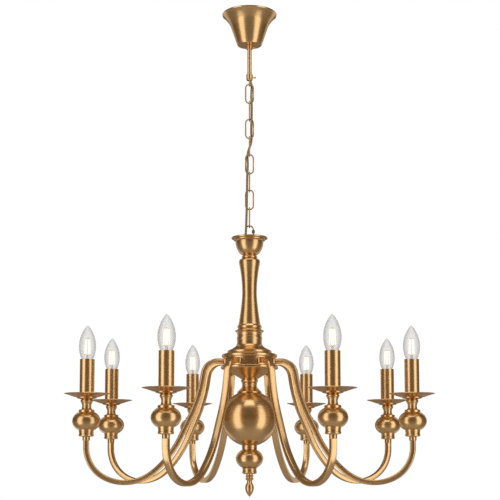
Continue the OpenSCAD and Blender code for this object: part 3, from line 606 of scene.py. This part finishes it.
def makeArm():
    start = Vector((armTube["hubRadius"], 0, hubMiddle))
    bpy.ops.mesh.primitive_plane_add(size=1, location=start, rotation=(0, quarterTurn, 0))
    arm = bpy.context.object
    arm.scale = (armTube["thick"], armTube["width"], 1)
    freeze(arm)
    openMesh(arm)
    bpy.ops.mesh.select_all(action="SELECT")
    bpy.ops.mesh.bevel(offset=armTube["corner"], segments=armTube["cornerSteps"], affect="VERTICES")
    bpy.ops.mesh.select_all(action="SELECT")
    bpy.ops.mesh.delete(type="ONLY_FACE")
    bpy.ops.mesh.select_all(action="SELECT")
    growRing(armTube["rootGrow"], start)
    ring, taper = armTube["rootRing"], armTube["rootTaper"]
    bpy.ops.mesh.extrude_region_move(TRANSFORM_OT_translate={"value": (ring, 0, 0)})
    bpy.ops.mesh.extrude_region_move(TRANSFORM_OT_translate={"value": (taper, 0, 0)})
    growRing(1 / armTube["rootGrow"], start + Vector((ring + taper, 0, 0)))
    legs = [(run * mm, radius * mm, turn, steps) for run, radius, turn, steps in armTube["legs"]]
    sweepAlong(legs, (start.x + ring + taper, start.z), 0.0)
    bpy.ops.mesh.edge_face_add()
    pickOf(arm, "vertices", lambda vert: abs(vert.co.x - start.x) < nearBy)
    bpy.ops.mesh.edge_face_add()
    sealMesh()
    closeMesh()
    return arm


firstArm = makeArm()
for index, angle in enumerate(armAngles):
    arm = place(copyOf(firstArm, f"armTube_{index + 1}"), turn=angle)
    dress(arm, drawnBrass)
    smooth(arm, armTube["softAngle"])
    mount(arm, "chandelier", "satin_brass", f"arm_{index + 1}")
bpy.data.objects.remove(firstArm)
print("arms are bent:", armCount)


# bent wire, its ends butted together a little over the middle of one leg
linkWire = {"radius": 1.5 * mm, "sides": 16, "bendSteps": 14, "buttGap": 0.12 * mm, "buttRise": 0.12,
            "chamfer": 0.35 * mm, "softAngle": 50}


def makeLink():
    low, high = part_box("chain_link_1")
    radius, chamfer, steps = linkWire["radius"], linkWire["chamfer"], linkWire["bendSteps"]
    half = (high.x - low.x) / 2 - radius
    leg = (high.z - low.z) - 2 * radius - 2 * half
    middle = (high.z + low.z) / 2 + linkWire["buttRise"] * leg
    upper = high.z - radius - half - middle
    start = Vector((half, 0, middle + linkWire["buttGap"] / 2))
    bpy.ops.mesh.primitive_circle_add(vertices=linkWire["sides"], radius=radius, location=start)
    link = bpy.context.object
    freeze(link)
    openMesh(link)
    bpy.ops.mesh.select_all(action="SELECT")
    shy = 1 - chamfer / radius
    growRing(shy, start)
    bpy.ops.mesh.extrude_region_move(TRANSFORM_OT_translate={"value": (0, 0, chamfer)})
    growRing(1 / shy, start + Vector((0, 0, chamfer)))
    rise = upper - linkWire["buttGap"] / 2 - chamfer
    last = leg - upper - linkWire["buttGap"] / 2 - chamfer
    roundEnd = (0, half, 180, steps)
    legs = [(rise, 0, 0, 0), roundEnd, (leg, 0, 0, 0), roundEnd, (last, 0, 0, 0)]
    x, z = sweepAlong(legs, (half, start.z + chamfer), quarterTurn)
    bpy.ops.mesh.extrude_region_move(TRANSFORM_OT_translate={"value": (0, 0, chamfer)})
    growRing(shy, (x, 0, z + chamfer))
    bpy.ops.mesh.edge_face_add()
    pickOf(link, "vertices", lambda vert: abs(vert.co.z - start.z) < nearBy and vert.co.x > 0)
    bpy.ops.mesh.edge_face_add()
    sealMesh()
    closeMesh()
    return link


firstLink = makeLink()
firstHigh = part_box("chain_link_1")[1].z
for number in range(1, linkCount + 1):
    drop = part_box(f"chain_link_{number}")[1].z - firstHigh
    link = place(copyOf(firstLink, f"chainLink_{number}"), (0, 0, drop), 0 if number % 2 else quarterTurn)
    dress(link, chainBrass)
    smooth(link, linkWire["softAngle"])
    mount(link, f"link_{number}", "satin_brass", f"chain_link_{number}")
bpy.data.objects.remove(firstLink)
print("chain links are bent:", linkCount)


def drawRings(name, rings, sides=48, closeFoot=True):
    # each ring is (radius, height); the first is a circle, and the others are drawn on from it
    radius, height = rings[0]
    bpy.ops.mesh.primitive_circle_add(vertices=sides, radius=radius, location=(0, 0, height))
    piece = bpy.context.object
    piece.name = name
    freeze(piece)
    openMesh(piece, "EDGE")
    bpy.ops.mesh.select_all(action="SELECT")
    if closeFoot:
        bpy.ops.mesh.edge_face_add()
        bpy.ops.mesh.select_all(action="SELECT")
        bpy.ops.mesh.region_to_loop()  # the foot's face stays behind, and only its rim is drawn on
    for nextRadius, nextHeight in rings[1:]:
        shift = {"value": (0, 0, nextHeight - height)}
        bpy.ops.mesh.extrude_edges_move(TRANSFORM_OT_translate=shift)
        factor = nextRadius / radius
        bpy.ops.transform.resize(value=(factor, factor, 1), center_override=(0, 0, nextHeight))
        radius, height = nextRadius, nextHeight
    bpy.ops.mesh.edge_face_add()
    sealMesh()
    closeMesh()
    return piece


# heights of a bulb stand over its sleeve's top; tip, contact and stem are outlines in mm, each
# point (radius, height), over the glass's top, the cap's foot and the neck
bulb = {
    "radius": 17.5 * mm, "belly": 26.5 * mm, "height": 70 * mm, "neck": -6.5 * mm, "neckShare": 0.65,
    "tipRadius": 1.4 * mm, "tipDrop": 0.6 * mm, "tip": [(0.8, -0.15), (0.2, 0)], "levels": 30,
    "softAngle": 40, "skin": 0.7 * mm, "capRadius": 7 * mm, "capHeight": 24 * mm, "threads": 5,
    "threadWave": 0.35 * mm, "threadFoot": 1.5 * mm, "threadFree": 7 * mm,
    "contact": [(1.9, -2.4), (2.4, -2.0), (4.0, -0.1)],
    "stem": [(4.2, 0.2), (3.6, 2), (2.4, 6), (1.9, 10), (2.5, 12), (2.2, 14), (0.9, 15.4)],
}


def bulbSide(height):
    # two arcs that meet at the widest place
    radius, belly = bulb["radius"], bulb["belly"]
    if height < belly:
        narrow = radius * (1 - bulb["neckShare"])
        sweep = (belly ** 2 + narrow ** 2) / (2 * narrow)
    else:
        narrow = radius - bulb["tipRadius"]
        rise = bulb["height"] - bulb["tipDrop"] - belly
        sweep = (rise ** 2 + narrow ** 2) / (2 * narrow)
    return radius - sweep + math.sqrt(sweep ** 2 - (height - belly) ** 2)


def outline(name, level):
    return [(radius * mm, level + height * mm) for radius, height in bulb[name]]


def makeBulbGlass():
    levels, neck = bulb["levels"], bulb["neck"]
    top = bulb["height"] - bulb["tipDrop"]
    heights = [neck + (top - neck) * i / levels for i in range(levels + 1)]
    rings = [(bulbSide(height), height) for height in heights] + outline("tip", bulb["height"])
    glass = drawRings("glassBlank", rings, closeFoot=False)
    wall = glass.modifiers.new("wall", "SOLIDIFY")
    wall.thickness = bulb["skin"]
    wall.offset = -1
    pick(glass)
    bpy.ops.object.modifier_apply(modifier="wall")
    return glass


def makeBulbCap():
    neck, radius, tall = bulb["neck"], bulb["capRadius"], bulb["capHeight"]
    foot = neck - tall
    steps = bulb["threads"] * 4
    rings = outline("contact", foot) + [(radius - 1.2 * mm, foot + 0.4 * mm)]
    for i in range(steps):
        wave = bulb["threadWave"] * math.sin(math.tau * i / 4)
        height = foot + bulb["threadFoot"] + i / steps * (tall - bulb["threadFree"])
        rings.append((radius - 0.4 * mm + wave, height))
    rings += [(radius, neck - 5 * mm), (radius, neck - 1 * mm), (radius - 0.4 * mm, neck - 0.2 * mm)]
    return drawRings("capBlank", rings, 32)


def makeBulbStem():
    return drawRings("stemBlank", outline("stem", bulb["neck"]), 24)


rodEnd = {"roundShare": 0.45, "roundSteps": 2}


def addRod(radius, length, spot, lean=(0, 0, 0), sides=12, rounded=True):
    bpy.ops.mesh.primitive_cylinder_add(vertices=sides, radius=radius, depth=length, location=spot,
                                        rotation=lean)
    rod = bpy.context.object
    freeze(rod)
    if rounded:
        edge = rod.modifiers.new("roundEnds", "BEVEL")
        edge.width = radius * rodEnd["roundShare"]
        edge.segments = rodEnd["roundSteps"]
        pick(rod)
        bpy.ops.object.modifier_apply(modifier="roundEnds")
    return rod


# four rods that lean to the axis, an end piece at both ends of each, and the wires that carry them
filament = {
    "count": 4, "out": 6 * mm, "lean": 3.2, "low": 11 * mm, "length": 30 * mm, "radius": 0.95 * mm,
    "endRadius": 0.55 * mm, "endLength": 2.6 * mm, "endShares": (-0.03, 1.03), "endSides": 10,
    "wireRadius": 0.25 * mm, "wireSides": 8, "wireFoot": 14.5 * mm, "wireDrop": 1.2 * mm,
    "hookRise": 1.6 * mm, "crownRise": 1.5 * mm,
}


def addWire(start, end):
    reach = end - start
    turn = reach.to_track_quat("Z", "Y").to_euler()
    middle = start + reach / 2
    return addRod(filament["wireRadius"], reach.length, middle, turn, filament["wireSides"], False)


def makeFilaments():
    length, lean = filament["length"], math.radians(filament["lean"])
    endRadius, endLength, endSides = filament["endRadius"], filament["endLength"], filament["endSides"]
    inner = Vector((0, 0, bulb["neck"] + filament["wireFoot"]))
    rods, ends, wires = [], [], []
    for k in range(filament["count"]):
        around = math.tau * (k + 0.5) / filament["count"]
        aim = Vector((math.cos(around), math.sin(around), 0))
        tilt = Vector((-math.sin(lean) * aim.x, -math.sin(lean) * aim.y, math.cos(lean)))
        turn = tilt.to_track_quat("Z", "Y").to_euler()
        foot = aim * filament["out"] + Vector((0, 0, filament["low"]))
        rods.append(addRod(filament["radius"], length, foot + tilt * length / 2, turn))
        for share in filament["endShares"]:
            ends.append(addRod(endRadius, endLength, foot + tilt * length * share, turn, endSides))
        wires.append(addWire(inner, foot - Vector((0, 0, filament["wireDrop"]))))
        head = foot + tilt * (length + filament["hookRise"])
        wires.append(addWire(head, Vector((0, 0, head.z + filament["crownRise"]))))
    for pieces, finish in ((rods, filamentGlow), (ends, filamentEnd), (wires, capNickel)):
        for piece in pieces:
            dress(piece, finish)
    return joinAll(rods + ends + wires, "filamentBlank")


bulbBlanks = {"bulbGlass": (makeBulbGlass(), bulbGlass), "bulbCap": (makeBulbCap(), capNickel),
              "bulbStem": (makeBulbStem(), stemGlass),
              "bulbFilaments": (makeFilaments(), None)}  # its three finishes are already on
for number in range(1, armCount + 1):
    for label, (blank, finish) in bulbBlanks.items():
        piece = place(copyOf(blank, f"{label}_{number}"), candleAt[number - 1], armAngles[number - 1])
        if finish:
            dress(piece, finish)
        smooth(piece, bulb["softAngle"])
        replaced = [f"bulb_{number}"] if label == "bulbGlass" else []
        mount(piece, f"bulb_{number}", "bulb_glass", *replaced)
for blank, _ in bulbBlanks.values():
    bpy.data.objects.remove(blank)
print("bulbs are blown:", armCount)


# shank, shoulder and a flat thumb piece that narrows to its foot
thumbScrew = {
    "shank": 1.5 * mm, "shoulder": 2.1 * mm, "shoulderLength": 1.2 * mm, "shoulderBack": 1.9 * mm,
    "sides": 20, "head": 5 * mm, "headLength": 2.6 * mm, "headThick": 1.6 * mm, "headFoot": 0.62,
    "edge": 0.5 * mm, "edgeSteps": 3, "softAngle": 40,
}


def makeThumbScrew(name, node, body):
    low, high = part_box(node)
    level = (low.z + high.z) / 2
    headLength, sides = thumbScrew["headLength"], thumbScrew["sides"]
    shankEnd = high.x - headLength
    lying = (0, quarterTurn, 0)
    middle = ((low.x + shankEnd) / 2, 0, level)
    shank = addRod(thumbScrew["shank"], shankEnd - low.x, middle, lying, sides)
    behind = (shankEnd - thumbScrew["shoulderBack"], 0, level)
    shoulder = addRod(thumbScrew["shoulder"], thumbScrew["shoulderLength"], behind, lying, sides)
    bpy.ops.mesh.primitive_cube_add(size=1, location=(high.x - headLength / 2, 0, level))
    head = bpy.context.object
    head.scale = (headLength, thumbScrew["headThick"], thumbScrew["head"])
    freeze(head)
    openMesh(head)
    pickOf(head, "vertices", lambda vert: vert.co.x < high.x - headLength / 2)
    bpy.ops.transform.resize(value=(1, 1, thumbScrew["headFoot"]), center_override=(shankEnd, 0, level))
    bpy.ops.mesh.select_all(action="SELECT")
    bpy.ops.mesh.bevel(offset=thumbScrew["edge"], segments=thumbScrew["edgeSteps"], affect="EDGES")
    closeMesh()
    piece = joinAll([head, shank, shoulder], name)
    dress(piece, brightBrass)
    smooth(piece, thumbScrew["softAngle"])
    mount(piece, body, "bright_brass", node)


makeThumbScrew("lockThumbScrew", "lock_screw", "lock_screw")
makeThumbScrew("loopThumbScrew", "loop_screw", "loop_screw")
print("thumb screws are set")


# the cord's route through rod, chain and column, in mm; it bends where each link hangs from the next
cord = {"radius": 2.5 * mm, "smoothness": 5, "roundness": 3, "softAngle": 60, "bendReach": 13 * mm}
cordRoute = [
    (0, 0, -16), (0, 0, -27), (0, 0, -40), (0, 0, -55), (0, 0, -70), (0, 0, -85), (0, 0, -100),
    (0, 0, -115), (0, 0, -125.3), (0, 0, -135.3), (0.2, 0.1, -141.3), (0.7, 0.5, -146.3),
    (1.4, 1.1, -151.3), (3.4, 2.9, -155.8), (4.4, 4.3, -160.3), (4.8, 4.7, -165.3),
    (4.5, 4.1, -170.3), (4.1, 1.7, -177.3), (3.9, -0.7, -184.3), (4.1, -3.4, -192.3),
    (4.5, -4.9, -201.3), (4.8, -5.2, -212.3), (4.8, -5.2, -222.3), (4.7, -5, -232.3),
    (4.5, -4.7, -241.3), (4, -3.2, -251.3), (3.7, 0, -260.3), (3.9, 3, -270.3),
    (4.4, 4.7, -279.3), (3.4, 4.1, -289.3), (0.2, 3.2, -299.3), (-3, 4, -309.3),
    (-4.5, 5, -318.3), (-4.2, 4, -327.3), (-3.8, 0.6, -337.3), (-4, -2.8, -346.3),
    (-4.6, -4.9, -357.3), (-5, -5.6, -368.3), (-5.2, -5.7, -381.3), (-5.3, -5.7, -393.3),
    (-5.5, -5.7, -406.3), (-5.7, -5.6, -418.3), (-5.9, -5.6, -431.3), (-6.2, -5.5, -443.3),
    (-6.6, -5.4, -456.3), (-7, -5.3, -469.3), (-7.5, -5.1, -481.3), (-8.3, -4.9, -494.3),
    (-9.1, -4.8, -503.3), (-9.9, -3.9, -510.3), (-10.2, -2.2, -517.3), (-9.8, -0.6, -523.3),
    (-9.4, 0, -527.3), (-9.4, 0, -533.3), (-9, 0, -544.3), (-8.6, 0, -556.3), (-8.6, 0, -571.3),
    (-8.6, 0, -586.3), (-8.6, 0, -601.3), (-8.6, 0, -616.3), (-8.6, 0, -631.3), (-8.6, 0, -646.3),
    (-8.6, 0, -661.3), (-8.6, 0, -676.3), (-8.6, 0, -691.3), (-8.6, 0, -706.3), (-8.6, 0, -721),
    (-8.6, 0, -734.3), (-8.6, 0, -745.6), (-8.6, 0, -757.6),
]


def makeCord():
    line = bpy.data.curves.new("cordLine", "CURVE")
    line.dimensions = "3D"
    line.resolution_u = cord["smoothness"]
    line.bevel_depth = cord["radius"]
    line.bevel_resolution = cord["roundness"]
    line.use_fill_caps = True
    spline = line.splines.new("BEZIER")
    spline.bezier_points.add(len(cordRoute) - 1)
    for point, spot in zip(spline.bezier_points, cordRoute):
        point.co = [value * mm for value in spot]
        point.handle_left_type = point.handle_right_type = "AUTO"
    piece = bpy.data.objects.new("flexCord", line)
    bpy.context.scene.collection.objects.link(piece)
    pick(piece)
    bpy.ops.object.convert(target="MESH")
    piece = bpy.context.object
    wrapCord(piece)
    return piece


def wrapCord(piece):
    # u is metres along the cord, v is once round it
    layer = piece.data.uv_layers.new(name="alongCord")
    route = [Vector(spot) * mm for spot in cordRoute]
    drops = [spot.z for spot in route]
    for loop in piece.data.loops:
        co = piece.data.vertices[loop.vertex_index].co
        i = max(0, min(len(route) - 2, sum(1 for z in drops if z > co.z) - 1))
        share = (route[i].z - co.z) / (route[i].z - route[i + 1].z)
        centre = route[i].lerp(route[i + 1], share)
        around = math.atan2(co.y - centre.y, co.x - centre.x) / math.tau
        layer.data[loop.index].uv = (-co.z, around)
    for face in piece.data.polygons:
        uvs = [layer.data[i].uv for i in face.loop_indices]
        if max(uv.y for uv in uvs) - min(uv.y for uv in uvs) > 0.5:
            for i in face.loop_indices:
                if layer.data[i].uv.y < 0:
                    layer.data[i].uv.y += 1


def cutCord(piece, name, level):
    # everything above level becomes its own piece
    openMesh(piece, "FACE")
    pickOf(piece, "polygons", lambda face: face.center.z > level)
    bpy.ops.mesh.separate(type="SELECTED")
    closeMesh()
    piece.select_set(False)
    top = bpy.context.selected_objects[0]
    top.name = name
    return top


def layCord():
    whole = makeCord()
    dress(whole, cordSheath)
    smooth(whole, cord["softAngle"])
    pivots = [jointAt[f"link_{n}_swing"] for n in range(1, linkCount + 1)] + [jointAt["chandelier_swing"]]
    bend = Vector((0, 0, cord["bendReach"]))
    first = cutCord(whole, "flexCord_rod", pivots[0].z + bend.z)
    mount(first, "ceiling_mount", "cord", "flex_cord")
    for i, pivot in enumerate(pivots):
        below = pivots[i + 1].z if i + 1 < len(pivots) else pivot.z - 2 * bend.z
        stretch = cutCord(whole, f"flexCord_{i + 1}", (pivot.z + below) / 2)
        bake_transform(stretch)
    whole.name = "flexCord_column"
    mount(whole, "chandelier", "cord")


layCord()
print("flex cord is woven")
